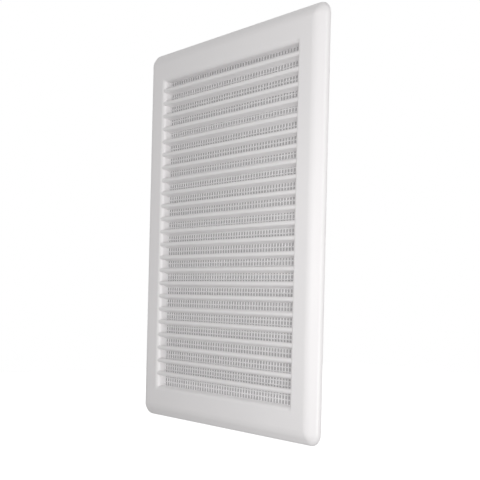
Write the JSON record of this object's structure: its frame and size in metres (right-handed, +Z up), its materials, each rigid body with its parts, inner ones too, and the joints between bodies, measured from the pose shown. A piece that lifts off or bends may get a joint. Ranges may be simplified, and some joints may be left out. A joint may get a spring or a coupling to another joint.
{
  "type": "ventilation grille",
  "caption": "Upright rectangular louvred air grille with a broad soft-edged border, fixed sloping blades and a fine insect screen behind them, fixed flat over a duct opening.",
  "frame": {"origin": "middle of the opening, in the plane of the wall that the back of the rim and ribs lies on", "axes": "+X to the right as seen from the room, +Y into the wall, +Z up"},
  "size_m": [0.18, 0.0076, 0.25],
  "materials": {
    "grille_plastic": "satin white, finely textured moulding",
    "screen_plastic": "matt off-white net"
  },
  "bodies": {
    "root": {"grille_body": "grille_plastic", "insect_screen": "screen_plastic"}
  },
  "joints": []
}
